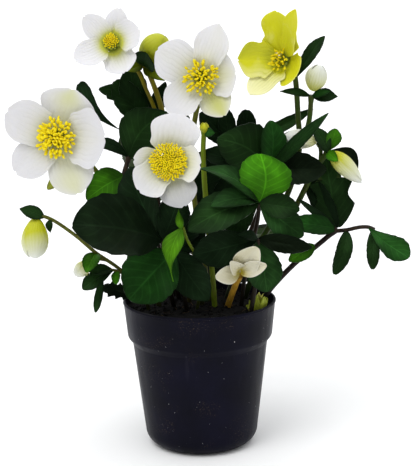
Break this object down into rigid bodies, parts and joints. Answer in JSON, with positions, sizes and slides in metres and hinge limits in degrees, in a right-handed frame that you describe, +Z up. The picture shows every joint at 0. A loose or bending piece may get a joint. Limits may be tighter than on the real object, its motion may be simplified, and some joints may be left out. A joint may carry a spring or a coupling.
{
  "type": "potted hellebore plant",
  "caption": "Flowering hellebore with white blooms, buds and leathery compound leaves, growing in a round black nursery pot.",
  "frame": {"origin": "centre of the pot's flat base, where it rests", "axes": "+Z up along the pot's axis, -Y towards the side that the open flowers face, +X to the right seen from there"},
  "size_m": [0.2997, 0.2186, 0.3474],
  "materials": {
    "pot": "blue-black polypropylene with a soft sheen",
    "soil": "dark crumbly peat",
    "shoots": "waxy yellow-green shoots",
    "stamens": "powdery yellow anthers on pale filaments",
    "white_sepals": "satin white, translucent, finely veined",
    "green_sepals": "satin yellow-green, translucent",
    "stalks": "smooth olive green with a brown flush",
    "buds": "satin cream, greener at the base",
    "young_leaf": "soft bright green",
    "leaves": "leathery, glossy dark green with a paler midrib"
  },
  "bodies": {
    "root": {"bud_behind": "buds", "bud_half_open": "buds", "bud_nodding": "buds", "bud_pendant": "buds", "bud_right": "buds", "bud_small": "buds", "bud_upright": "buds", "crown_shoots": "shoots", "flower_front_sepal_1": "white_sepals", "flower_front_sepal_2": "white_sepals", "flower_front_sepal_3": "white_sepals", "flower_front_sepal_4": "white_sepals", "flower_front_sepal_5": "white_sepals", "flower_front_stamens": "stamens", "flower_green_sepal_1": "green_sepals", "flower_green_sepal_2": "green_sepals", "flower_green_sepal_3": "green_sepals", "flower_green_sepal_4": "green_sepals", "flower_green_sepal_5": "green_sepals", "flower_green_stamens": "stamens", "flower_left_sepal_1": "white_sepals", "flower_left_sepal_2": "white_sepals", "flower_left_sepal_3": "white_sepals", "flower_left_sepal_4": "white_sepals", "flower_left_sepal_5": "white_sepals", "flower_left_stamens": "stamens", "flower_top_sepal_1": "white_sepals", "flower_top_sepal_2": "white_sepals", "flower_top_sepal_3": "white_sepals", "flower_top_sepal_4": "white_sepals", "flower_top_sepal_5": "white_sepals", "flower_top_stamens": "stamens", "flower_upper_left_sepal_1": "white_sepals", "flower_upper_left_sepal_2": "white_sepals", "flower_upper_left_sepal_3": "white_sepals", "flower_upper_left_sepal_4": "white_sepals", "flower_upper_left_sepal_5": "white_sepals", "flower_upper_left_stamens": "stamens", "leaf_back": "leaves", "leaf_back_left": "leaves", "leaf_back_right": "leaves", "leaf_far_right": "leaves", "leaf_front_right": "leaves", "leaf_left": "leaves", "leaf_low_left": "leaves", "leaf_low_right": "leaves", "leaf_right": "leaves", "leaf_upper_left": "leaves", "leaf_young": "young_leaf", "nursery_pot": "pot", "potting_soil": "soil", "scape_front": "stalks", "scape_green": "stalks", "scape_left": "stalks", "scape_left_buds": "stalks", "scape_low": "stalks", "scape_right_buds": "stalks", "scape_top": "stalks", "scape_upper_left": "stalks", "scape_young_bud": "stalks"}
  },
  "joints": []
}
